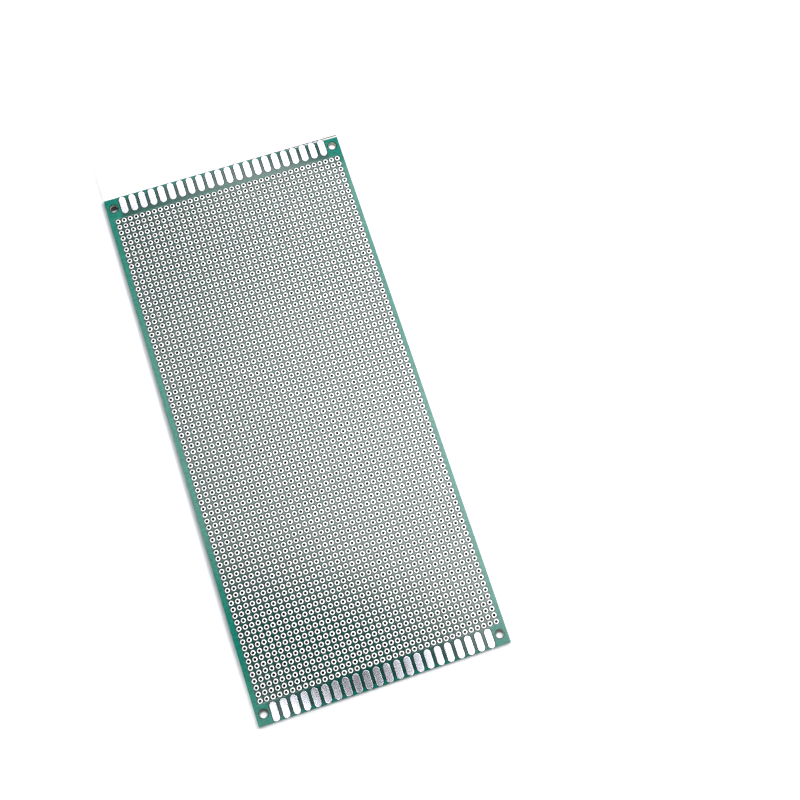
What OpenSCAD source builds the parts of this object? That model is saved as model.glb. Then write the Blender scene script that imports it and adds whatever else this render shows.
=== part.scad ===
// Bare double-sided prototyping board: a drilled laminate, plated through-holes on
// a square grid, and a row of edge contacts at each end of each face.
// The origin is at the middle of the underside, +Y runs along the board, +Z is up.

/* [Board] */
// Width of the board
board_w = 100; // [60:1:140]
// Length of the board
board_l = 220; // [130:1:300]
// Thickness of the board, over the pads
board_t = 1.6; // [0.8:0.1:3.2]
// Radius of the board's four corners
corner_r = 0.4; // [0.2:0.1:2]

/* [Plated holes] */
// Distance between neighbouring holes
pitch = 2.54; // [2.5:0.01:5.08]
// Finished bore of a plated hole
hole_d = 1.0; // [0.6:0.05:1.2]
// Diameter of the pad round a hole
pad_d = 1.9; // [1.5:0.1:2.3]
// Thickness of the plating on a hole's wall
barrel_t = 0.05; // [0.03:0.01:0.1]
// Height of the pads and contacts over the laminate
foil_t = 0.05; // [0.03:0.01:0.1]
// Offset of the hole grid across the board
grid_shift_x = 0.25; // [-1:0.05:1]
// Offset of the hole grid along the board
grid_shift_y = -0.6; // [-1:0.05:1]
// Least distance from the board's side to a hole's centre
side_margin = 2.6; // [1.5:0.1:10]

/* [Edge contacts] */
// Distance between neighbouring contacts
contact_pitch = 4.064; // [3.2:0.001:6]
// Width of a contact, which is round at both ends
contact_w = 2.6; // [1.5:0.1:3]
// Length of a contact
contact_l = 7.3; // [4:0.1:12]
// Distance from the board's end to a contact
contact_edge_gap = 0.2; // [0.1:0.05:2]
// Least distance from a contact to the centre of the first holes
contact_row_gap = 1.5; // [1.3:0.1:5]

/* [Mounting holes] */
// Diameter of the four mounting holes
mount_d = 3.2; // [2:0.1:4]
// Distance from a mounting hole's centre to the board's side
mount_inset_x = 3.1; // [2.5:0.1:6]
// Distance from a mounting hole's centre to the board's end
mount_inset_y = 4.3; // [2.5:0.1:8]
// Least distance from a mounting hole's edge to a pad or a contact
mount_gap = 0.9; // [0.3:0.1:3]

/* [Hidden] */
// The two faces are divided into bands, one for each group of hole rows. Every other
// band is thinner by this much on each face, far under the sheet's own tolerance.
band_step = 0.005;
groups = 40;
function group_name(g) = str("plated_rows_", g < 9 ? "0" : "", g + 1);

hole_r = hole_d / 2;
pad_r = pad_d / 2;
drill_r = hole_r + barrel_t;
mount_r = mount_d / 2;

// Holes fill what the margins, the contacts and the mounting holes leave.
row_margin = max(
  contact_edge_gap + contact_l + contact_row_gap,
  mount_inset_y + mount_r + mount_gap + pad_r
);
columns = floor((board_w - 2 * (side_margin + abs(grid_shift_x))) / pitch) + 1;
rows = floor((board_l - 2 * (row_margin + abs(grid_shift_y))) / pitch) + 1;

// Contacts fill the width between the mounting holes.
contact_margin = mount_inset_x + mount_r + mount_gap + contact_w / 2;
contacts = floor((board_w - 2 * contact_margin) / contact_pitch) + 1;
contact_y = board_l / 2 - contact_edge_gap - contact_l / 2;

function column_x(i) = grid_shift_x + (i - (columns - 1) / 2) * pitch;
function row_y(j) = grid_shift_y + (j - (rows - 1) / 2) * pitch;
function contact_x(i) = (i - (contacts - 1) / 2) * contact_pitch;

// Group g holds the rows from first_row(g) up to the one before first_row(g + 1).
function first_row(g) = floor(g * rows / groups);
function band_end(g) =
  g == 0 ? -board_l / 2 :
  g == groups ? board_l / 2 :
  row_y(first_row(g)) - pitch / 2;

// Height of the laminate's lower face, where group g's pads and contacts are bonded.
function seat_z(g) = foil_t + (g % 2) * band_step;

module outline() {
  square([board_w - 2 * corner_r, board_l], center = true);
  square([board_w, board_l - 2 * corner_r], center = true);
  for (x = [-1, 1], y = [-1, 1])
    translate([x * (board_w / 2 - corner_r), y * (board_l / 2 - corner_r)])
      circle(r = corner_r, $fn = 48);
}

module at_rows_of(g) {
  for (j = [first_row(g):first_row(g + 1) - 1], i = [0:columns - 1])
    translate([column_x(i), row_y(j), 0])
      children();
}

module mounting_holes() {
  for (x = [-1, 1], y = [-1, 1])
    translate([x * (board_w / 2 - mount_inset_x), y * (board_l / 2 - mount_inset_y)])
      circle(r = mount_r, $fn = 96);
}

module laminate_band(g) {
  translate([0, 0, seat_z(g)])
    linear_extrude(height = board_t - 2 * seat_z(g))
      difference() {
        intersection() {
          outline();
          translate([-board_w / 2, band_end(g)])
            square([board_w, band_end(g + 1) - band_end(g)]);
        }
        at_rows_of(g) circle(r = drill_r, $fn = 48);
        mounting_holes();
      }
}

module laminate() {
  color("#1f8069")
    union() {
      for (g = [0:groups - 1]) laminate_band(g);
    }
}

// A tinned barrel with a pad on each face. Each pad slopes from the bore's rim to its edge.
module plated_hole(seat) {
  rotate_extrude($fn = 48)
    polygon([
      [hole_r, 0],
      [pad_r, seat],
      [drill_r, seat],
      [drill_r, board_t - seat],
      [pad_r, board_t - seat],
      [hole_r, board_t]
    ]);
}

module plated_rows(g) {
  color("#e8ecef")
    at_rows_of(g) plated_hole(seat_z(g));
}

module contact(thickness) {
  straight_l = contact_l - contact_w;
  linear_extrude(height = thickness) {
    square([contact_w, straight_l], center = true);
    for (y = [-1, 1])
      translate([0, y * straight_l / 2])
        circle(d = contact_w, $fn = 64);
  }
}

module contact_row(y, z, thickness) {
  color("#e2e3ee")
    for (i = [0:contacts - 1])
      translate([contact_x(i), y, z])
        contact(thickness);
}

module front_contacts_top() {
  contact_row(-contact_y, board_t - seat_z(0), seat_z(0));
}

module rear_contacts_top() {
  contact_row(contact_y, board_t - seat_z(groups - 1), seat_z(groups - 1));
}

module front_contacts_bottom() {
  contact_row(-contact_y, 0, seat_z(0));
}

module rear_contacts_bottom() {
  contact_row(contact_y, 0, seat_z(groups - 1));
}

laminate();
front_contacts_top();
rear_contacts_top();
front_contacts_bottom();
rear_contacts_bottom();
for (g = [0:groups - 1])
  plated_rows(g);
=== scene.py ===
"""Looks of a bare double-sided prototyping board: laminate, solder mask, plated holes and contacts."""

import math

import bmesh
import bpy
from bpy.props import FloatProperty, FloatVectorProperty, PointerProperty
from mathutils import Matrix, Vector


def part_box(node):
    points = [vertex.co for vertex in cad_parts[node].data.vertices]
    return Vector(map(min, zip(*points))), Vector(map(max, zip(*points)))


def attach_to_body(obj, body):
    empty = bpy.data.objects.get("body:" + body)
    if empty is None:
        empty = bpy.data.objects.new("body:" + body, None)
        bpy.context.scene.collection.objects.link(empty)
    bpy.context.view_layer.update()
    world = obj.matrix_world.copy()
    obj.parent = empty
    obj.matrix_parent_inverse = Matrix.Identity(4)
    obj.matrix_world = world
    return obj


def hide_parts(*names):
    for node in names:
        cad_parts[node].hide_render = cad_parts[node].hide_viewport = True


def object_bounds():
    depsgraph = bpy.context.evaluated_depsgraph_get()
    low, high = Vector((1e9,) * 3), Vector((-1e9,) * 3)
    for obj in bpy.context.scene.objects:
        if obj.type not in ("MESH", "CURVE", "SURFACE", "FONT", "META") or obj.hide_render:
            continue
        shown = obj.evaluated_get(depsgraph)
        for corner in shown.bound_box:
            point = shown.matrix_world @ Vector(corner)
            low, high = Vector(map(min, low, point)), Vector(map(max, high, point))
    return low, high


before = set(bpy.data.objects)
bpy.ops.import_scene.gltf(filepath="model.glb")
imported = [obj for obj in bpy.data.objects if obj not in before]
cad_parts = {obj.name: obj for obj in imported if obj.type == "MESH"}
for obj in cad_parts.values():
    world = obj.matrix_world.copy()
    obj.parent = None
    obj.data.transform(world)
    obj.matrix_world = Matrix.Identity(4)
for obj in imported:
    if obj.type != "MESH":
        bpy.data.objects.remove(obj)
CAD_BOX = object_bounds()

bl_info = {
    "name": "Prototyping board",
    "version": (1, 0, 0),
    "blender": (4, 5, 0),
    "location": "View3D > Sidebar > Board",
    "description": "Builds the finish of a bare prototyping board around its packed solids",
    "category": "Object",
}

MM = 0.001
WELD = 0.0005 * MM
BODY = "root"
WHITE = (1.0, 1.0, 1.0, 1.0)

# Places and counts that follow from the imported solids.
LEFT, NEAR, UNDERSIDE = CAD_BOX[0]
RIGHT, FAR, CREST = CAD_BOX[1]
LAMINATE_LOW, LAMINATE_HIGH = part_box("laminate")
ROW_NODES = sorted(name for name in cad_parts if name.startswith("plated_rows_"))
ROWS_PER_NODE = 2


def union_box(nodes):
    """Lowest and highest corner of several solids together."""
    boxes = [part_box(name) for name in nodes]
    low = Vector(min(box[0][axis] for box in boxes) for axis in range(3))
    high = Vector(max(box[1][axis] for box in boxes) for axis in range(3))
    return low, high


HOLES_LOW, HOLES_HIGH = union_box((ROW_NODES[0], ROW_NODES[-1]))


# ---------------------------------------------------------------- sizes and colours


def length(name, description, millimetres, lowest=0.0):
    """A distance that a user may change, given in millimetres and kept in metres."""
    return FloatProperty(
        name=name,
        description=description,
        default=millimetres * MM,
        min=lowest * MM,
        precision=5,
        subtype="DISTANCE",
        unit="LENGTH",
    )


def colour(name, description, rgb):
    """A colour that a user may change, in linear light."""
    return FloatVectorProperty(
        name=name, description=description, default=(*rgb, 1.0), size=4, min=0.0, max=1.0, subtype="COLOR"
    )


class BoardSizes(bpy.types.PropertyGroup):
    """Sizes of the board's coating, plating and contacts."""

    pitch: length("Hole pitch", "Distance between neighbouring holes", 2.54)
    pad_diameter: length("Pad diameter", "Diameter of the pad round a hole", 1.9)
    bore: length("Bore", "Finished bore of a plated hole", 1.0)
    plating: length("Plating", "Thickness of the plating on a hole's wall", 0.05)
    crest_diameter: length("Crest diameter", "Diameter of the highest ring of a pad", 1.54)
    rim_drop: length("Rim drop", "How far the pad rounds down into the bore", 0.035)
    mask: length("Mask thickness", "Thickness of the solder mask on each face", 0.03)
    mask_opening: length("Mask opening", "Diameter of the opening in the mask round a pad", 2.2)
    contact_width: length("Contact width", "Width of an edge contact", 2.6)
    contact_length: length("Contact length", "Length of an edge contact", 7.3)
    contact_pitch: length("Contact pitch", "Distance between neighbouring contacts", 4.064)
    contact_gap: length("Contact gap", "Bare laminate beside a contact, up to the mask", 0.40)
    contact_end_gap: length("Contact end gap", "Bare laminate at a contact's ends, up to the mask", 0.17)
    mount_diameter: length("Mounting hole", "Diameter of the four mounting holes", 3.2)
    mount_inset_x: length("Mounting inset across", "From a mounting hole's centre to the side", 3.1)
    mount_inset_y: length("Mounting inset along", "From a mounting hole's centre to the end", 4.3)
    mount_gap: length("Mounting gap", "Bare laminate round a mounting hole", 0.15)
    corner_radius: length("Corner radius", "Radius of the board's corners", 0.4)


class BoardColours(bpy.types.PropertyGroup):
    """Colours of the board's finishes, some with painted shade or painted light in them."""

    mask: colour("Solder mask", "Green coating along the borders", (0.005, 0.222, 0.163))
    # Painted shade: this darker green stands for the shade among the pads and contacts, not for a thicker
    # coat.
    mask_shaded: colour("Deep mask", "Coating where it lies thick between the pads", (0.005, 0.083, 0.063))
    # Painted shade: near black, for the shade in the mask's openings, not the laminate's own pale colour.
    laminate: colour("Laminate", "Bare face in the openings of the mask", (0.002, 0.012, 0.010))
    edge: colour("Laminate edge", "Cut glass-fibre edge", (0.52, 0.60, 0.47))
    edge_glass: colour("Glass plies", "Glass plies that show in the cut edge", (0.74, 0.80, 0.70))
    # Partly painted light: the bare strip is near white, lighter than the laminate's cut edge.
    bare_strip_lit: colour("Bare strip", "Strip that the mask doesn't reach", (0.93, 0.95, 0.90))
    tin: colour("Tin", "Levelled tin on the pads", (0.96, 0.985, 0.98))
    # Painted shade: a darker, greenish ring at each pad's outer rim.
    tin_rim_shade: colour("Tin rim", "Thin tin at a pad's outer rim", (0.30, 0.42, 0.40))
    # Painted shade: near black, for the shade down a deep bore, not the tin's own colour.
    tin_bore_shade: colour("Dull tin", "Tin inside the bores", (0.006, 0.006, 0.007))
    contact: colour("Contact tin", "Levelled tin on the edge contacts", (0.88, 0.885, 1.0))


class StageLevels(bpy.types.PropertyGroup):
    """Levels of the lights on the stage."""

    card: FloatProperty(name="Card", description="Brightest light of the overhead card", default=5.4, min=0.0)
    lamp: FloatProperty(
        name="Lamp", description="Power of the side lamp", default=7.0, min=0.0, subtype="POWER"
    )
    room: FloatProperty(name="Room", description="Light of the room on the object", default=0.2, min=0.0)


# ---------------------------------------------------------------- node trees written as code


class Value:
    """An output of a node, on which Python's arithmetic adds Math nodes."""

    def __init__(self, tree, socket):
        self.tree, self.socket = tree, socket

    def math(self, operation, *terms):
        return self.tree.node("ShaderNodeMath", {"operation": operation}, dict(enumerate(terms)))["Value"]

    def __add__(self, other):
        return self.math("ADD", self, other)

    def __sub__(self, other):
        return self.math("SUBTRACT", self, other)

    def __rsub__(self, other):
        return self.math("SUBTRACT", other, self)

    def __mul__(self, other):
        return self.math("MULTIPLY", self, other)

    def __truediv__(self, other):
        return self.math("DIVIDE", self, other)

    def __rtruediv__(self, other):
        return self.math("DIVIDE", other, self)

    def __pow__(self, other):
        return self.math("POWER", self, other)

    def __abs__(self):
        return self.math("ABSOLUTE", self)

    def sine(self):
        return self.math("SINE", self)

    def sign(self):
        return self.math("SIGN", self)

    def more_than(self, other):
        return self.math("GREATER_THAN", self, other)

    def or_more(self, other):
        """The larger of two values."""
        return self.math("MAXIMUM", self, other)

    __radd__, __rmul__ = __add__, __mul__


class Node:
    """A node whose outputs are read by name or number, as in node["Fac"]."""

    def __init__(self, tree, node):
        self.tree, self.node = tree, node

    def __getitem__(self, key):
        return Value(self.tree, self.node.outputs[key])


class Tree:
    """A node tree to which node() adds one node at a time."""

    def __init__(self, tree):
        self.tree = tree
        tree.nodes.clear()

    def node(self, kind, settings=None, sockets=None):
        """Adds a node of a type, with its settings first and then the values or links of its sockets."""
        node = self.tree.nodes.new(kind)
        for name, value in (settings or {}).items():
            setattr(node, name, value)
        for key, value in (sockets or {}).items():
            self.feed(node.inputs[key], value)
        return Node(self, node)

    def feed(self, target, value):
        """Links a socket to a value, or to each value of a list, or sets it to a plain number."""
        for each in value if isinstance(value, list) else [value]:
            if isinstance(each, Value):
                self.tree.links.new(each.socket, target)
            else:
                target.default_value = each

    def vector(self, operation, *terms):
        return self.node("ShaderNodeVectorMath", {"operation": operation}, dict(enumerate(terms)))["Vector"]

    def place(self):
        """The place on the piece, which is the place on the board."""
        return self.node("ShaderNodeTexCoord")["Object"]

    def parts(self, vector):
        """A node that gives a vector's parts, as in parts["X"]."""
        return self.node("ShaderNodeSeparateXYZ", {}, {0: vector})

    def upward(self, height):
        """A vector straight up."""
        return self.node("ShaderNodeCombineXYZ", {}, {"Z": height})["Vector"]

    def rgb(self, red, green, blue):
        """A colour from its three parts."""
        return self.node("ShaderNodeCombineColor", {}, {0: red, 1: green, 2: blue})["Color"]

    def tone(self):
        """The random tone of a repeated shape, from 0 to 1."""
        return self.node("ShaderNodeAttribute", {"attribute_name": "tone"})["Fac"]

    def mix(self, factor, first, second, blend="MIX"):
        """A colour between two others."""
        settings = {"data_type": "RGBA", "blend_type": blend, "clamp_factor": True}
        return self.node("ShaderNodeMix", settings, {0: factor, 6: first, 7: second})[2]

    def step(self, value, low, high, start=0.0, end=1.0):
        """A smooth step from start, where value is low or less, to end, where it is high or more."""
        settings = {"interpolation_type": "SMOOTHSTEP"}
        sockets = {"Value": value, "From Min": low, "From Max": high, "To Min": start, "To Max": end}
        return self.node("ShaderNodeMapRange", settings, sockets)["Result"]

    def noise(self, place, scale, detail=2.0, roughness=0.5):
        """Soft noise round 0.5 of about 1 / scale metres across."""
        sockets = {"Vector": place, "Scale": scale, "Detail": detail, "Roughness": roughness}
        return self.node("ShaderNodeTexNoise", {"noise_dimensions": "3D"}, sockets)["Fac"]

    def bump(self, height):
        """The normal of a surface with that height in millimetres."""
        sockets = {"Strength": 1.0, "Distance": MM, "Height": height}
        return self.node("ShaderNodeBump", {}, sockets)["Normal"]

    def emission(self, strength):
        """White light of that strength."""
        return self.node("ShaderNodeEmission", {}, {"Color": WHITE, "Strength": strength})["Emission"]

    def finish(self, shader):
        """Ends a material's tree."""
        self.node("ShaderNodeOutputMaterial", {}, {"Surface": shader})

    def finish_surface(self, sockets):
        """Ends a material's tree with one Principled shader."""
        self.finish(self.node("ShaderNodeBsdfPrincipled", {}, sockets)["BSDF"])


def new_material(name):
    """An empty material and its tree."""
    material = bpy.data.materials.new(name)
    material.use_nodes = True
    return material, Tree(material.node_tree)


def material_of(name, make, *groups):
    """The material of that name, made the first time that it is asked for."""
    return bpy.data.materials.get(name) or make(*groups)


# ---------------------------------------------------------------- places on the board


THREAD = 0.52 * MM  # from one glass thread to the next but one
FIELD_FADE = 0.15 * MM  # to each side of the line where the field of holes ends


def straight(across, along):
    """Straight distance from its two parts."""
    return (across * across + along * along) ** 0.5


def from_middle_of_holes(tree, place):
    """How far a place lies across and along from the middle of the field of holes."""
    middle = (HOLES_LOW + HOLES_HIGH) / 2
    away = tree.parts(tree.vector("SUBTRACT", place, tuple(middle)))
    return abs(away["X"]), abs(away["Y"])


def field_reach(sizes):
    """Half the size of the field of holes, up to the outer openings in the mask."""
    return (HOLES_HIGH - HOLES_LOW) / 2 + Vector((1, 1, 0)) * (sizes.mask_opening - sizes.pad_diameter) / 2


def from_nearest_hole(tree, place, sizes):
    """Distance to the nearest hole's centre, large outside the field of holes."""
    first = HOLES_LOW + Vector((1, 1, 0)) * sizes.pad_diameter / 2
    per_metre = (1 / sizes.pitch, 1 / sizes.pitch, 0)
    half = (0.5, 0.5, 0)
    cells = tree.vector("MULTIPLY", tree.vector("SUBTRACT", place, tuple(first)), per_metre)
    centred = tree.vector("FRACTION", tree.vector("ADD", cells, half))
    offset = tree.vector("SUBTRACT", centred, half)
    distance = tree.node("ShaderNodeVectorMath", {"operation": "LENGTH"}, {0: offset})["Value"]
    across, along = from_middle_of_holes(tree, place)
    reach = field_reach(sizes)
    past = (across - reach.x).or_more(along - reach.y)
    spare = (sizes.pitch - sizes.mask_opening) / 2
    return distance * sizes.pitch + tree.step(past, spare - FIELD_FADE, spare) * sizes.pitch


def among_holes(tree, place, sizes):
    """1 inside the field of holes."""
    across, along = from_middle_of_holes(tree, place)
    reach = field_reach(sizes)
    within_sides = tree.step(across, reach.x - FIELD_FADE, reach.x + FIELD_FADE, 1.0, 0.0)
    within_ends = tree.step(along, reach.y - FIELD_FADE, reach.y + FIELD_FADE, 1.0, 0.0)
    return within_sides * within_ends


def among_contacts(tree, x, y):
    """1 on the strips of contacts, fading out past the last contact and towards the board's ends."""
    low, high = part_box("rear_contacts_top")
    middle, reach = (low.x + high.x) / 2, (high.x - low.x) / 2
    fade = 0.7 * MM
    past_holes = tree.step(abs(y), HOLES_HIGH.y, HOLES_HIGH.y + fade)
    before_end = tree.step(abs(y), FAR - 2.6 * MM, FAR - 0.4 * MM, 1.0, 0.3)
    return past_holes * before_end * tree.step(abs(x - middle), reach, reach + fade, 1.0, 0.0)


def from_nearest_mount(x, y, sizes):
    """How far a place lies across and along from the nearest mounting hole's centre."""
    return x - x.sign() * (RIGHT - sizes.mount_inset_x), y - y.sign() * (FAR - sizes.mount_inset_y)


def weave(x, y):
    """A plain weave of glass threads, from 0 to 1."""
    turn = math.tau / THREAD
    return (x * turn).sine() * (y * turn).sine() * 0.5 + 0.5


# ---------------------------------------------------------------- materials


def bare_strip(tree, x, y, colours):
    """How bare the far edge is, and the colour of its bare laminate.

    The outline was cut a little askew, which leaves a strip without mask that widens towards one end of
    the far edge. It is pale, partly painted light, with a painted shadow line along its outer side.
    """
    width = tree.step(x, 12 * MM, RIGHT, 0.15 * MM, 1.0 * MM)
    # Painted shadow: a dark line along the far edge's outer side, in the near-black laminate colour.
    dark_line, blur = 0.36 * MM, 0.03 * MM
    bare = tree.step(y - FAR + width, -2 * blur, 2 * blur) * tree.step(x, 10 * MM, 14 * MM)
    pale = tree.step(FAR - y, dark_line - blur, dark_line + blur)
    return bare, tree.mix(pale, tuple(colours.laminate), tuple(colours.bare_strip_lit))


def mask_material(sizes, colours):
    """Glossy green solder mask, brighter along the borders, with painted shade among the pads and contacts."""
    material, tree = new_material("solder_mask")
    place = tree.place()
    part = tree.parts(place)
    x, y = part["X"], part["Y"]
    distance = from_nearest_hole(tree, place, sizes)
    field = among_holes(tree, place, sizes)
    among_pads_or_contacts = field.or_more(among_contacts(tree, x, y))
    threads = weave(x, y)
    cloud = tree.noise(place, scale=90.0, detail=3.0)
    speckle = tree.noise(place, scale=1800.0, detail=2.0, roughness=0.6)
    fleck = (tree.noise(place, scale=1100.0, detail=2.0, roughness=0.6) - 0.5) * (1.0 - field)

    opening = sizes.mask_opening / 2
    near_pad = tree.step(distance, opening, opening + 0.36 * MM, 1.0, 0.0)
    past_mount = straight(*from_nearest_mount(x, y, sizes)) - sizes.mount_diameter / 2 - sizes.mount_gap
    near_mount = tree.step(past_mount, 0.05 * MM, 0.35 * MM, 1.0, 0.0)
    # Painted shade: the mask turns nearly black just round the pads' openings and round the mounting holes.
    round_openings = near_pad.or_more(near_mount)
    # shade mixes the mask's random mottle with that painted shade.
    shade = (0.86 + cloud * 0.20 + threads * 0.05 + speckle * 0.06 + fleck * 1.5) * (1.0 - round_openings * 0.92)
    # Painted shade: the mask's green turns darker among the pads and contacts.
    green = tree.mix(among_pads_or_contacts, tuple(colours.mask), tuple(colours.mask_shaded))
    coated = tree.mix(1.0, green, tree.rgb(shade, shade, shade), "MULTIPLY")
    # The bare strip's colour holds painted light and a painted shadow line.
    bare, laminate = bare_strip(tree, x, y, colours)

    swell = field * tree.step(distance, opening - 0.05 * MM, opening + 0.22 * MM)
    height = swell * 0.016 + threads * 0.0004 + cloud * 0.01 + speckle * 0.0003
    tree.finish_surface({
        "Base Color": tree.mix(bare, coated, laminate),
        "Roughness": 0.04 + cloud * 0.04 + speckle * 0.02,
        "IOR": 1.55,
        "Coat Weight": among_pads_or_contacts * (1.0 - near_pad * 0.65) * 0.7,
        "Coat Roughness": 0.06,
        "Coat IOR": 1.55,
        "Normal": tree.bump(height),
    })
    return material


def laminate_material(colours):
    """Glass-fibre laminate: pale with glass plies at its cut edges, painted near black on its faces for shade.
    """
    material, tree = new_material("glass_laminate")
    place = tree.place()
    part = tree.parts(place)
    normal = tree.node("ShaderNodeTexCoord")["Normal"]
    face = tree.step(abs(tree.parts(normal)["Z"]), 0.4, 0.6)

    threads = weave(part["X"], part["Y"])
    speckle = tree.noise(place, scale=2500.0, detail=3.0, roughness=0.6)
    # Painted shade: faces that look up or down take the near-black laminate colour; cut edges keep their pale
    # plies.
    bare = tree.mix(threads * 0.10 + speckle * 0.10, tuple(colours.laminate), tuple(colours.mask_shaded))

    ply, sway, flattening = 0.18 * MM, 0.05 * MM, (1.0, 1.0, 6.0)
    waver = tree.noise(place, scale=500.0)
    layer = ((part["Z"] + waver * sway) * (math.tau / ply)).sine() * 0.5 + 0.5
    bundle = tree.noise(tree.vector("MULTIPLY", place, flattening), scale=1400.0, detail=3.0, roughness=0.65)
    plies = tree.mix(layer * 0.5 + bundle * 0.5, tuple(colours.edge), tuple(colours.edge_glass))

    height = (layer * 0.012 + bundle * 0.012) * (1.0 - face) + threads * face * 0.003
    tree.finish_surface({
        "Base Color": tree.mix(face, plies, bare),
        "Roughness": 0.62 + speckle * 0.08 - face * 0.54,
        "Normal": tree.bump(height),
    })
    return material


def plating_material(sizes, colours):
    """Levelled tin on the pads, a little different on each, with painted shade in the bores and at the rims.
    """
    material, tree = new_material("tinned_pads")
    place = tree.place()
    distance = from_nearest_hole(tree, place, sizes)
    tone = tree.tone()
    mottle = tree.noise(place, scale=2200.0, detail=3.0, roughness=0.6)
    grain = tree.noise(place, scale=9000.0, detail=2.0, roughness=0.6)

    # Painted shade: inside the bores and on the rounded rim round them the tin is made near black, rough and
    # not metal.
    lip, blur, rim = sizes.bore / 2 + 0.11 * MM, 0.03 * MM, 0.14 * MM
    bore_shade = tree.step(distance, lip - blur, lip + blur, 1.0, 0.0)
    worn = tuple(channel * 0.92 for channel in colours.tin)
    bright = tree.mix(tone * 0.5 + mottle * 0.4, tuple(colours.tin), worn)
    pad = sizes.pad_diameter / 2
    # Painted shade: each pad darkens to a greenish grey towards its outer rim.
    edged = tree.mix(tree.step(distance, pad - rim, pad) * 0.8, bright, tuple(colours.tin_rim_shade))
    tree.finish_surface({
        "Base Color": tree.mix(bore_shade, edged, tuple(colours.tin_bore_shade)),
        "Metallic": 1.0 - bore_shade,
        "Roughness": 0.31 + tone * 0.12 + mottle * 0.08 + bore_shade * 0.4,
        "Specular IOR Level": 0.1,
        "Normal": tree.bump(mottle * 0.010 + grain * 0.002),
    })
    return material


def contact_material(colours):
    """Levelled tin on the edge contacts, smooth with soft flow marks along each contact."""
    material, tree = new_material("tinned_contacts")
    place = tree.place()
    tone = tree.tone()
    shifted = tree.upward(tone)
    drawn_out = tree.vector("MULTIPLY", place, (1.0, 0.6, 1.0))
    flow = tree.noise(tree.vector("ADD", drawn_out, shifted), scale=700.0, detail=1.0, roughness=0.4)
    pool = tree.noise(tree.vector("ADD", place, shifted), scale=260.0, detail=1.0)
    worn = tuple(channel * 0.82 for channel in colours.contact)
    tree.finish_surface({
        "Base Color": tree.mix(flow * 0.35 + tone * 0.3, tuple(colours.contact), worn),
        "Metallic": 1.0,
        "Roughness": 0.125 + flow * 0.03 + tone * 0.02,
        "Normal": tree.bump(flow * 0.0005 + pool * 0.004),
    })
    return material


# ---------------------------------------------------------------- Geometry Nodes


MOUNT_SIDES = 48
SLOT_END_POINTS = 9
CORNER_POINTS = 6
NEARLY_HALF = 0.499  # of a slot's width, so that the arcs of its round ends don't quite meet


def new_group(name, inputs):
    """A Geometry Nodes group with named inputs, given as name: (socket kind, default)."""
    group = bpy.data.node_groups.new(name, "GeometryNodeTree")
    tree = Tree(group)
    interface = group.interface
    interface.new_socket("Geometry", in_out="OUTPUT", socket_type="NodeSocketGeometry")
    interface.new_socket("Geometry", in_out="INPUT", socket_type="NodeSocketGeometry")
    for label, (kind, default) in inputs.items():
        socket = interface.new_socket(label, in_out="INPUT", socket_type="NodeSocket" + kind)
        if default is not None:
            socket.default_value = default
    return group, tree, tree.node("NodeGroupInput")


def copies_on_grid(tree, shape, columns, rows, width, length, centre=None):
    """Instances of a shape on a grid of points, round a centre."""
    sockets = {"Vertices X": columns, "Vertices Y": rows, "Size X": width, "Size Y": length}
    points = tree.node("GeometryNodeMeshGrid", {}, sockets)["Mesh"]
    if centre is not None:
        sockets = {"Geometry": points, "Translation": centre}
        points = tree.node("GeometryNodeTransform", {}, sockets)["Geometry"]
    return tree.node("GeometryNodeInstanceOnPoints", {}, {"Points": points, "Instance": shape})["Instances"]


def real(tree, copies):
    """Instances made into geometry of their own."""
    return tree.node("GeometryNodeRealizeInstances", {}, {"Geometry": copies})["Geometry"]


def finish_group(tree, shape, material):
    """Ends a group with real geometry in its material."""
    sockets = {"Geometry": real(tree, shape), "Material": material}
    tree.node("NodeGroupOutput", {}, {0: tree.node("GeometryNodeSetMaterial", {}, sockets)["Geometry"]})


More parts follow.
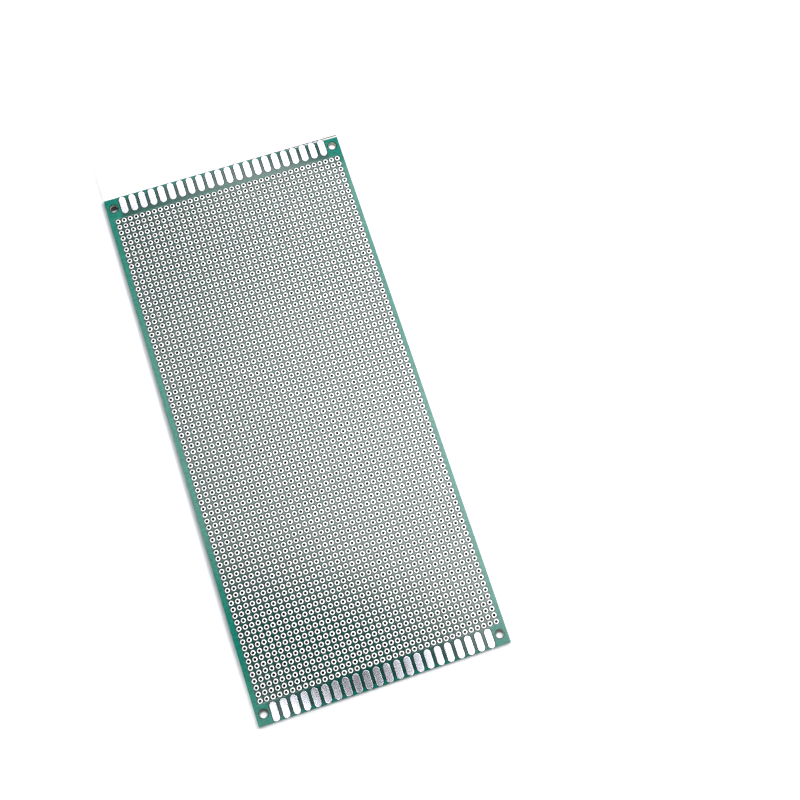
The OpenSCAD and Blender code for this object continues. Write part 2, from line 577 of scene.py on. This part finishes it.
def sheet_group():
    """A sheet with a round opening at each hole, a slot round each contact and four mounting holes.

    The field of holes is one square cell repeated. The border round it is filled between the outline, the
    slots, the mounting holes and the field's own edge, which has a point at each cell's corner.
    """
    lengths = (
        "Width", "Length", "Corner radius", "Lower face", "Upper face", "Pitch", "Opening diameter",
        "Slot width", "Slot length", "Slot pitch", "Slot rows apart", "Mounting diameter",
        "Mounts apart across", "Mounts apart along",
    )
    counts = ("Columns", "Rows", "Opening sides", "Slots")
    inputs = {label: ("Float", MM) for label in lengths}
    inputs.update({label: ("Int", 2) for label in counts})
    inputs.update({"Field centre": ("Vector", None), "Material": ("Material", None)})
    group, tree, given = new_group("perforated_sheet", inputs)
    columns, rows, pitch, slots = given["Columns"], given["Rows"], given["Pitch"], given["Slots"]

    def rectangle(width, height):
        sockets = {"Width": width, "Height": height}
        return tree.node("GeometryNodeCurvePrimitiveQuadrilateral", {}, sockets)["Curve"]

    def rounded(width, height, radius, points):
        sockets = {"Curve": rectangle(width, height), "Radius": radius, "Count": points, "Limit Radius": True}
        return tree.node("GeometryNodeFilletCurve", {"mode": "POLY"}, sockets)["Curve"]

    def circle(sides, diameter):
        sockets = {"Resolution": sides, "Radius": diameter / 2}
        return tree.node("GeometryNodeCurvePrimitiveCircle", {}, sockets)["Curve"]

    def spread(shape, across, along, width, height):
        return real(tree, copies_on_grid(tree, shape, across, along, width, height))

    def joined(*shapes):
        return tree.node("GeometryNodeJoinGeometry", {}, {"Geometry": list(shapes)})["Geometry"]

    def filled(*curves):
        return tree.node("GeometryNodeFillCurve", {"mode": "TRIANGLES"}, {"Curve": joined(*curves)})["Mesh"]

    def moved(shape, by):
        return tree.node("GeometryNodeTransform", {}, {"Geometry": shape, "Translation": by})["Geometry"]

    def welded(shape):
        sockets = {"Geometry": shape, "Distance": WELD}
        return tree.node("GeometryNodeMergeByDistance", {}, sockets)["Geometry"]

    cell = filled(rectangle(pitch, pitch), circle(given["Opening sides"], given["Opening diameter"]))
    cells = spread(cell, columns, rows, (columns - 1) * pitch, (rows - 1) * pitch)
    sockets = {"Curve": rectangle(columns * pitch, rows * pitch), "Count": (columns + rows) * 2}
    window = tree.node("GeometryNodeResampleCurve", {"mode": "COUNT"}, sockets)["Curve"]
    mount = circle(MOUNT_SIDES, given["Mounting diameter"])
    mounts = spread(mount, 2, 2, given["Mounts apart across"], given["Mounts apart along"])
    slot_end = given["Slot width"] * NEARLY_HALF
    slot = rounded(given["Slot width"], given["Slot length"], slot_end, SLOT_END_POINTS)
    slot_rows = spread(slot, slots, 2, (slots - 1) * given["Slot pitch"], given["Slot rows apart"])
    sockets = {"Switch": slots.more_than(1), "True": slot_rows}
    slotted = tree.node("GeometryNodeSwitch", {"input_type": "GEOMETRY"}, sockets)["Output"]
    outline = rounded(given["Width"], given["Length"], given["Corner radius"], CORNER_POINTS)
    border = filled(outline, moved(window, given["Field centre"]), mounts, slotted)
    face = welded(joined(moved(cells, given["Field centre"]), border))

    lower = moved(face, tree.upward(given["Lower face"]))
    rise = tree.upward(given["Upper face"] - given["Lower face"])
    sockets = {"Mesh": lower, "Offset": rise, "Individual": False}
    raised = tree.node("GeometryNodeExtrudeMesh", {}, sockets)["Mesh"]
    downward = tree.node("GeometryNodeFlipFaces", {}, {"Mesh": lower})["Mesh"]
    finish_group(tree, welded(joined(raised, downward)), given["Material"])
    return group


def repeat_group():
    """Copies of a shape on a grid, each with a random tone."""
    inputs = {
        "Across": ("Int", 2), "Along": ("Int", 2), "Step across": ("Float", MM), "Step along": ("Float", MM),
        "Centre": ("Vector", None), "Seed": ("Int", 7), "Material": ("Material", None),
    }
    group, tree, given = new_group("repeated_shape", inputs)
    width = (given["Across"] - 1) * given["Step across"]
    height = (given["Along"] - 1) * given["Step along"]
    shape = given["Geometry"]
    copies = copies_on_grid(tree, shape, given["Across"], given["Along"], width, height, given["Centre"])
    tone = tree.node("FunctionNodeRandomValue", {"data_type": "FLOAT"}, {"Seed": given["Seed"]})["Value"]
    settings = {"data_type": "FLOAT", "domain": "INSTANCE"}
    sockets = {"Geometry": copies, "Name": "tone", "Value": tone}
    toned = tree.node("GeometryNodeStoreNamedAttribute", settings, sockets)["Geometry"]
    finish_group(tree, toned, given["Material"])
    return group


def group_of(name, make):
    """The node group of that name, made the first time that it is asked for."""
    return bpy.data.node_groups.get(name) or make()


def grow(name, shape, group, values):
    """Runs a node group on a shape and returns the result as one plain mesh object."""
    piece = bpy.data.objects.new(name, shape)
    bpy.context.scene.collection.objects.link(piece)
    modifier = piece.modifiers.new(group.name, "NODES")
    modifier.node_group = group
    identifiers = {
        item.name: item.identifier for item in group.interface.items_tree if item.in_out == "INPUT"
    }
    for label, value in values.items():
        modifier[identifiers[label]] = value
    depsgraph = bpy.context.evaluated_depsgraph_get()
    mesh = bpy.data.meshes.new_from_object(
        piece.evaluated_get(depsgraph), preserve_all_data_layers=True, depsgraph=depsgraph
    )
    if not mesh.polygons:
        raise RuntimeError(f"{name} came out empty")
    piece.modifiers.clear()
    piece.data = mesh
    mesh.name = name
    bpy.data.meshes.remove(shape)
    return piece


def grow_sheet(name, values):
    """A perforated sheet, which the node group makes from its values alone."""
    return grow(name, bpy.data.meshes.new("outline"), group_of("perforated_sheet", sheet_group), values)


def grow_copies(name, shape, values):
    """Copies of a shape, laid out and toned by the node group."""
    return grow(name, shape, group_of("repeated_shape", repeat_group), values)


# ---------------------------------------------------------------- base shapes


SHARP = math.radians(42)
CONTACT_END_STEPS = 9
# Rings of a contact's tin: how far in from its outline, and the share of its full height.
CONTACT_CROWN = ((0.0, 0.0), (0.02 * MM, 0.70), (0.05 * MM, 0.93), (0.09 * MM, 0.99), (0.16 * MM, 1.0))


def solid(name, points, faces):
    """A closed mesh with outward normals, shaded smooth up to its sharp edges."""
    mesh = bpy.data.meshes.new(name)
    mesh.from_pydata(points, [], faces)
    shape = bmesh.new()
    shape.from_mesh(mesh)
    bmesh.ops.recalc_face_normals(shape, faces=shape.faces)
    for face in shape.faces:
        face.smooth = True
    for edge in shape.edges:
        edge.smooth = edge.calc_face_angle() < SHARP
    shape.to_mesh(mesh)
    shape.free()
    return mesh


def stretch(loop, sector, sectors):
    """The points of one of a closed loop's equal sectors, both its ends among them."""
    each = (len(loop) - 1) // sectors
    return loop[sector * each:(sector + 1) * each + 1]


def turned(name, rings):
    """A closed loop of rings round the vertical, each a (radius, height, number of points)."""
    points, loops = [], []
    for radius, height, count in rings:
        start = len(points)
        loops.append([*range(start, start + count), start])
        angles = [math.tau * index / count for index in range(count)]
        points += [(radius * math.cos(angle), radius * math.sin(angle), height) for angle in angles]
    faces = []
    for loop, after in zip(loops, loops[1:] + loops[:1]):
        sectors = min(len(loop), len(after)) - 1
        for sector in range(sectors):
            faces.append(stretch(loop, sector, sectors) + stretch(after, sector, sectors)[::-1])
    return solid(name, points, faces)


def stadium(width, height, inset):
    """Points of an outline with straight sides and round ends, drawn in by inset."""
    radius = width / 2 - inset
    straight_half = height / 2 - width / 2
    points = []
    for end, start in ((1, 0), (-1, math.pi)):
        for step in range(CONTACT_END_STEPS + 1):
            angle = math.pi * step / CONTACT_END_STEPS + start
            points.append((radius * math.cos(angle), end * straight_half + radius * math.sin(angle)))
    return points


def crowned_contact(name, sizes, foot, crest):
    """One edge contact, whose tin rises from its foot, on the laminate, to its crest in the middle."""
    points, faces = [], []
    for inset, share in CONTACT_CROWN:
        outline = stadium(sizes.contact_width, sizes.contact_length, inset)
        points += [(x, y, foot + (crest - foot) * share) for x, y in outline]
    around = len(outline)
    last = len(points) - around
    for low in range(0, last, around):
        high = low + around
        for index in range(around):
            after = (index + 1) % around
            faces.append((low + index, low + after, high + after, high + index))
    faces.append(tuple(range(around)))
    faces.append(tuple(range(last, last + around)))
    return solid(name, points, faces)


# ---------------------------------------------------------------- operators


PAD_SEED = 11
CONTACT_SEED = 31
PAD_FIELDS = 4


def attach(piece, slot, *nodes):
    """Makes a piece ride on the board and hides the solids that it stands for. The slot is not used."""
    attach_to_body(piece, BODY)
    if nodes:
        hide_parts(*nodes)


def how_many(low, high, width, pitch):
    """How many shapes of a width stand at a pitch between two ends."""
    return round((high - low - width) / pitch) + 1


def middle_of(low, high):
    """Middle of a box, at the height of the origin."""
    return (low.x + high.x) / 2, (low.y + high.y) / 2, 0.0


def sheet_values(sizes, lower, upper, material):
    """Inputs of the sheet group that the laminate and both coats of mask share."""
    return {
        "Width": RIGHT - LEFT,
        "Length": FAR - NEAR,
        "Corner radius": sizes.corner_radius,
        "Lower face": lower,
        "Upper face": upper,
        "Pitch": sizes.pitch,
        "Columns": how_many(HOLES_LOW.x, HOLES_HIGH.x, sizes.pad_diameter, sizes.pitch),
        "Rows": how_many(HOLES_LOW.y, HOLES_HIGH.y, sizes.pad_diameter, sizes.pitch),
        "Field centre": middle_of(HOLES_LOW, HOLES_HIGH),
        "Mounting diameter": sizes.mount_diameter,
        "Mounts apart across": RIGHT - LEFT - 2 * sizes.mount_inset_x,
        "Mounts apart along": FAR - NEAR - 2 * sizes.mount_inset_y,
        "Slots": 0,
        "Material": material,
    }


class BOARD_OT_laminate(bpy.types.Operator):
    """Drilled laminate, which shows at its edges and in the openings of the mask"""

    bl_idname = "board.laminate"
    bl_label = "Laminate"

    def execute(self, context):
        sizes, colours = context.scene.board_sizes, context.scene.board_colours
        material = material_of("glass_laminate", laminate_material, colours)
        values = sheet_values(sizes, LAMINATE_LOW.z, LAMINATE_HIGH.z, material)
        # The drilled holes are hidden under the pads, so four points each are enough.
        values["Opening sides"] = 4
        values["Opening diameter"] = 0.9 * sizes.pad_diameter
        attach(grow_sheet("laminate_core", values), "coated_laminate", "laminate")
        return {"FINISHED"}


class BOARD_OT_solder_mask(bpy.types.Operator):
    """Solder mask on both faces, open round the pads, the contacts and the mounting holes"""

    bl_idname = "board.solder_mask"
    bl_label = "Solder mask"

    def execute(self, context):
        sizes, colours = context.scene.board_sizes, context.scene.board_colours
        material = material_of("solder_mask", mask_material, sizes, colours)
        low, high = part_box("front_contacts_top")
        openings = {
            "Opening sides": 12,
            "Opening diameter": sizes.mask_opening,
            "Mounting diameter": sizes.mount_diameter + 2 * sizes.mount_gap,
            "Slot width": sizes.contact_width + 2 * sizes.contact_gap,
            "Slot length": sizes.contact_length + 2 * sizes.contact_end_gap,
            "Slot pitch": sizes.contact_pitch,
            "Slots": how_many(low.x, high.x, sizes.contact_width, sizes.contact_pitch),
            "Slot rows apart": -(low.y + high.y),
        }
        levels = {
            "solder_mask_top": (LAMINATE_HIGH.z, LAMINATE_HIGH.z + sizes.mask),
            "solder_mask_bottom": (LAMINATE_LOW.z - sizes.mask, LAMINATE_LOW.z),
        }
        for name, (lower, upper) in levels.items():
            values = {**sheet_values(sizes, lower, upper, material), **openings}
            attach(grow_sheet(name, values), "coated_laminate")
        return {"FINISHED"}


class BOARD_OT_plated_holes(bpy.types.Operator):
    """Tinned eyelets with a domed pad on each face, in four fields along the board"""

    bl_idname = "board.plated_holes"
    bl_label = "Plated holes"

    def execute(self, context):
        sizes, colours = context.scene.board_sizes, context.scene.board_colours
        material = material_of("tinned_pads", plating_material, sizes, colours)
        bore, pad, crest = sizes.bore / 2, sizes.pad_diameter / 2, sizes.crest_diameter / 2
        # The wall's outer side is buried in the laminate, so six points are enough there.
        seen, buried = 12, 6
        wall = bore + 2 * sizes.plating
        bottom, top = HOLES_LOW.z, HOLES_HIGH.z
        rings = (
            (bore, top - sizes.rim_drop, seen), (crest, top, seen), (pad, LAMINATE_HIGH.z, seen),
            (wall, LAMINATE_HIGH.z, buried), (wall, LAMINATE_LOW.z, buried),
            (pad, LAMINATE_LOW.z, seen), (crest, bottom, seen), (bore, bottom + sizes.rim_drop, seen),
        )
        share = len(ROW_NODES) // PAD_FIELDS
        for field in range(PAD_FIELDS):
            nodes = ROW_NODES[field * share:(field + 1) * share]
            low, high = union_box((nodes[0], nodes[-1]))
            values = {
                "Across": how_many(low.x, high.x, sizes.pad_diameter, sizes.pitch),
                "Along": share * ROWS_PER_NODE,
                "Step across": sizes.pitch,
                "Step along": sizes.pitch,
                "Centre": middle_of(low, high),
                "Seed": PAD_SEED + field,
                "Material": material,
            }
            piece = grow_copies(f"plated_holes_{field + 1}", turned("plated_hole", rings), values)
            attach(piece, "tinned_plating", *nodes)
        return {"FINISHED"}


class BOARD_OT_contacts(bpy.types.Operator):
    """Tinned edge contacts, a row at each end of each face"""

    bl_idname = "board.contacts"
    bl_label = "Edge contacts"

    def execute(self, context):
        sizes, colours = context.scene.board_sizes, context.scene.board_colours
        material = material_of("tinned_contacts", contact_material, colours)
        faces = {"top": (LAMINATE_HIGH.z, CREST), "bottom": (LAMINATE_LOW.z, UNDERSIDE)}
        for end in ("front", "rear"):
            for face, (foot, crest) in faces.items():
                node = f"{end}_contacts_{face}"
                low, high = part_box(node)
                values = {
                    "Across": how_many(low.x, high.x, sizes.contact_width, sizes.contact_pitch),
                    "Along": 1,
                    "Step across": sizes.contact_pitch,
                    "Centre": middle_of(low, high),
                    "Seed": CONTACT_SEED + len(node),
                    "Material": material,
                }
                shape = crowned_contact("contact", sizes, foot, crest)
                attach(grow_copies(f"{end}_{face}_tin", shape, values), "tinned_contact", node)
        return {"FINISHED"}


# ---------------------------------------------------------------- stage


CAMERA_PLACE = Vector((-0.01166, -0.10980, 0.47151))
CAMERA_TURN = (13.601, -1.983, -18.326)  # degrees
FOCAL_LENGTH = 54.68
SENSOR_WIDTH = 36.0
CARD_HEIGHT = 0.60
CARD_PAST_SIDES = 30 * MM
CARD_PAST_ENDS = 40 * MM
FLOOR_LOW, FLOOR_HIGH = (-6, -6), (6, 6)
LAMP_PLACE = Vector((0.68, 0.32, 0.72))
LAMP_WIDTH, LAMP_LENGTH = 0.6, 0.9


def level_plane(name, low, high, height, material):
    """A flat rectangle of the stage."""
    mesh = bpy.data.meshes.new(name)
    corners = [(low[0], low[1]), (high[0], low[1]), (high[0], high[1]), (low[0], high[1])]
    mesh.from_pydata([(x, y, height) for x, y in corners], [], [(0, 1, 2, 3)])
    mesh.materials.append(material)
    plane = bpy.data.objects.new(name, mesh)
    bpy.context.scene.collection.objects.link(plane)
    return plane


def shown(tree):
    """1 for the camera and for what gloss and glass show, 0 for the light that falls on the board."""
    ray = tree.node("ShaderNodeLightPath")
    return ray["Is Camera Ray"] + ray["Is Glossy Ray"] + ray["Is Transmission Ray"]


def mounting_shade(tree, x, y, sizes):
    """1 inside the mounting holes, and how much darker the floor is painted there.

    A spot off each hole's middle stays light, a little further off in the near holes. The floor in the hole
    at the far left is dark but for its near side.
    """
    from_x, from_y = from_nearest_mount(x, y, sizes)
    inside = tree.step(straight(from_x, from_y), 1.8 * MM, 2.0 * MM, 1.0, 0.0)
    spot_x, spot_y = 0.1 * MM, tree.step(y, -1 * MM, 1 * MM, 0.82 * MM, 0.25 * MM)
    spot = tree.step(straight(from_x + spot_x, from_y + spot_y), 0.8 * MM, 1.9 * MM, 0.0, 0.80)
    far_left = tree.step(x - y, -150 * MM, -140 * MM, 0.96, 0.0)
    covered = far_left * tree.step(from_y, -0.8 * MM, 0.1 * MM, 0.35, 1.0)
    return inside, inside * spot.or_more(covered)


def floor_material(sizes):
    """White floor, painted dark under the field of holes, with a painted shadow along the board's left side.
    """
    material, tree = new_material("floor_white")
    part = tree.parts(tree.place())
    x, y = part["X"], part["Y"]
    past_left, past_right, past_ends = LEFT - x, x - RIGHT, abs(y) - FAR
    # Painted shade: the floor is dark under the field of holes, so that the bores look dark.
    lit = tree.step((abs(x) - HOLES_HIGH.x).or_more(abs(y) - HOLES_HIGH.y), 0.0, 1.5 * MM)
    inside, dimmed = mounting_shade(tree, x, y, sizes)
    # Painted shadow: a strip 2 mm wide left of the board's left side, which runs on past the board's ends.
    shadow = tree.step(past_left, 0.2 * MM, 2.0 * MM, 0.70, 1.0)
    under_board = tree.step(past_left, -0.1 * MM, 0.0, 1.0, 0.0)
    grey = (lit * 0.90 + 0.02) * (1.0 - dimmed) * shadow.or_more(under_board)
    matt = tree.node("ShaderNodeBsdfDiffuse", {}, {"Color": tree.rgb(grey * 0.98, grey, grey * 1.04)})["BSDF"]

    # A little light of its own, seen directly and in gloss and glass, is painted light: it lifts the floor in
    # the mounting holes, by the left side near the near end, past the painted shadow and beside the other
    # sides, and makes the floor white again further off.
    in_mounts = inside * (1.0 - dimmed) * 0.16
    near_left = tree.step(y, NEAR, NEAR + 40 * MM, 0.36, 0.0) * tree.step(past_left, -0.3 * MM, 0.0)
    past_shadow = tree.step(past_left, 1.2 * MM, 2.6 * MM)
    other_sides = tree.step(past_right.or_more(past_ends), 0.0, 0.8 * MM)
    far_off = tree.step((abs(x) - RIGHT).or_more(past_ends), 4 * MM, 60 * MM)
    lift = in_mounts + near_left + past_shadow.or_more(other_sides) * 0.22 + far_off
    light = tree.emission(shown(tree) * lit * lift)
    tree.finish(tree.node("ShaderNodeAddShader", {}, {0: matt, 1: light})["Shader"])
    return material


def mirrored(x, y):
    """Place on the card that the board's top face mirrors to the camera at x, y of the board."""
    rise = (CARD_HEIGHT - CREST) / (CAMERA_PLACE.z - CREST)
    return x + (x - CAMERA_PLACE.x) * rise, y + (y - CAMERA_PLACE.y) * rise


def dark_oval(tree, x, y):
    """0 in the middle of an oval that lies askew near the card's near end, 1 well outside it."""
    tilt = math.radians(-33)
    half_long, half_short = 63, 22.5
    from_x, from_y = x + 15, y + 94
    major = (from_x * math.cos(tilt) + from_y * math.sin(tilt)) / half_long
    minor = (from_y * math.cos(tilt) - from_x * math.sin(tilt)) / half_short
    return tree.step(straight(major, minor), 0.4, 2.0)


def light_over_board(tree, x, y):
    """Share of the card's light at the place that mirrors x, y of the board, in millimetres."""
    level_right = tree.step(abs(y - 30), 8, 45, 0.8, 0.0)
    sideways = 0.67 + (x - x.or_more(0.0) * level_right) * 0.0048
    lengthways = tree.step(y, 10, 70, 1.0, 0.71) * tree.step(y, -130, -60, 0.75, 1.0)
    bowed = y + (x + 10) ** 2 * 0.0031 + x.or_more(0.0) * 0.09
    far_end = tree.step(bowed, 107, 116, 1.0, 0.05)
    far_left = tree.step(straight(x + 50, y - 110), 8, 66, 0.30, 1.0)
    near_left = tree.step(x + y, -149, -133, 0.45, 0.0)
    near_strip = tree.step(y, -106, -101.5, 1.0, 0.0) * tree.step(abs(x + 2), 24, 40, 0.85, 0.0)
    oval = dark_oval(tree, x, y).or_more(near_left)
    return sideways * lengthways * far_end * far_left * oval * (1.0 - near_strip)


def card_material(levels):
    """Soft overhead light, brightest to the right, with a dark oval near its near end and bright ends.

    The pattern is laid out for the camera's fixed place, so it falls elsewhere on the board in other views.
    Past the board's ends it shows mainly in the contacts, whose tin mirrors a wide part of the card.
    """
    material, tree = new_material("overhead_card")
    part = tree.parts(tree.place())
    # Back from the card to the place on the board that mirrors it, in millimetres.
    origin, unit = mirrored(0.0, 0.0), mirrored(MM, MM)
    x = (part["X"] - origin[0]) / (unit[0] - origin[0])
    y = (part["Y"] - origin[1]) / (unit[1] - origin[1])

    past_near = tree.step(y, -118, -115, 1.0, 0.0)
    past_far = tree.step(y, 117, 119)
    over_board = light_over_board(tree, x, y) * (1.0 - past_near - past_far)
    near_apron = tree.step(x, -60, -10, 1.75, 0.0).or_more(tree.step(x, -5, 34, 0.03, 1.06))
    far_apron, faintest = 0.9, 0.005
    share = over_board + near_apron * past_near + past_far * far_apron
    tree.finish(tree.emission(faintest + share * levels.card))
    return material


def side_lamp(power):
    """A broad lamp to the right of the board, turned to its middle."""
    lamp = bpy.data.lights.new("side_lamp", "AREA")
    lamp.shape, lamp.size, lamp.size_y, lamp.energy = "RECTANGLE", LAMP_WIDTH, LAMP_LENGTH, power
    side = bpy.data.objects.new("side_lamp", lamp)
    side.location = LAMP_PLACE
    side.rotation_euler = (-LAMP_PLACE).to_track_quat("-Z", "Y").to_euler()
    side.visible_camera = False
    return side


def room(level):
    """A world that looks white and lights the board only a little."""
    world = bpy.data.worlds.new("room")
    world.use_nodes = True
    tree = Tree(world.node_tree)
    sockets = {"Color": WHITE, "Strength": level + shown(tree) * (1.0 - level)}
    light = tree.node("ShaderNodeBackground", {}, sockets)["Background"]
    tree.node("ShaderNodeOutputWorld", {}, {"Surface": light})
    return world


def still_camera():
    """The camera, above the board's near end."""
    lens = bpy.data.cameras.new("camera")
    lens.lens, lens.sensor_width, lens.dof.use_dof = FOCAL_LENGTH, SENSOR_WIDTH, False
    lens.clip_start, lens.clip_end = 0.01, 50.0
    camera = bpy.data.objects.new("camera", lens)
    camera.location = CAMERA_PLACE
    camera.rotation_euler = [math.radians(turn) for turn in CAMERA_TURN]
    return camera


class BOARD_OT_stage(bpy.types.Operator):
    """White floor, soft overhead light with a dark oval and bright ends, a side lamp and the camera"""

    bl_idname = "board.stage"
    bl_label = "Stage"

    def execute(self, context):
        scene, levels = context.scene, context.scene.board_stage
        level_plane("floor", FLOOR_LOW, FLOOR_HIGH, UNDERSIDE, floor_material(scene.board_sizes))
        near = mirrored(LEFT - CARD_PAST_SIDES, NEAR - CARD_PAST_ENDS)
        far = mirrored(RIGHT + CARD_PAST_SIDES, FAR + CARD_PAST_ENDS)
        card = level_plane("overhead_card", near, far, CARD_HEIGHT, card_material(levels))
        card.visible_camera = False

        scene.collection.objects.link(side_lamp(levels.lamp))
        scene.world = room(levels.room)
        scene.camera = still_camera()
        scene.collection.objects.link(scene.camera)
        scene.view_settings.view_transform = "Standard"
        return {"FINISHED"}


# ---------------------------------------------------------------- panel and running


BUILDERS = (
    BOARD_OT_laminate, BOARD_OT_solder_mask, BOARD_OT_plated_holes, BOARD_OT_contacts, BOARD_OT_stage,
)


class BOARD_PT_panel(bpy.types.Panel):
    """Sizes, colours and builders of the board"""

    bl_label = "Prototyping board"
    bl_idname = "BOARD_PT_panel"
    bl_space_type = "VIEW_3D"
    bl_region_type = "UI"
    bl_category = "Board"

    def draw(self, context):
        scene = context.scene
        for group in (scene.board_sizes, scene.board_colours, scene.board_stage):
            box = self.layout.box()
            for name in group.__annotations__:
                box.prop(group, name)
        for builder in BUILDERS:
            self.layout.operator(builder.bl_idname)


GROUPS = {"board_sizes": BoardSizes, "board_colours": BoardColours, "board_stage": StageLevels}


def register():
    for group in (*GROUPS.values(), *BUILDERS, BOARD_PT_panel):
        bpy.utils.register_class(group)
    for name, group in GROUPS.items():
        setattr(bpy.types.Scene, name, PointerProperty(type=group))


def unregister():
    for name in GROUPS:
        delattr(bpy.types.Scene, name)
    for group in reversed((*GROUPS.values(), *BUILDERS, BOARD_PT_panel)):
        bpy.utils.unregister_class(group)


def main():
    register()
    for builder in BUILDERS:
        family, action = builder.bl_idname.split(".")
        getattr(getattr(bpy.ops, family), action)()


if __name__ == "__main__":
    main()
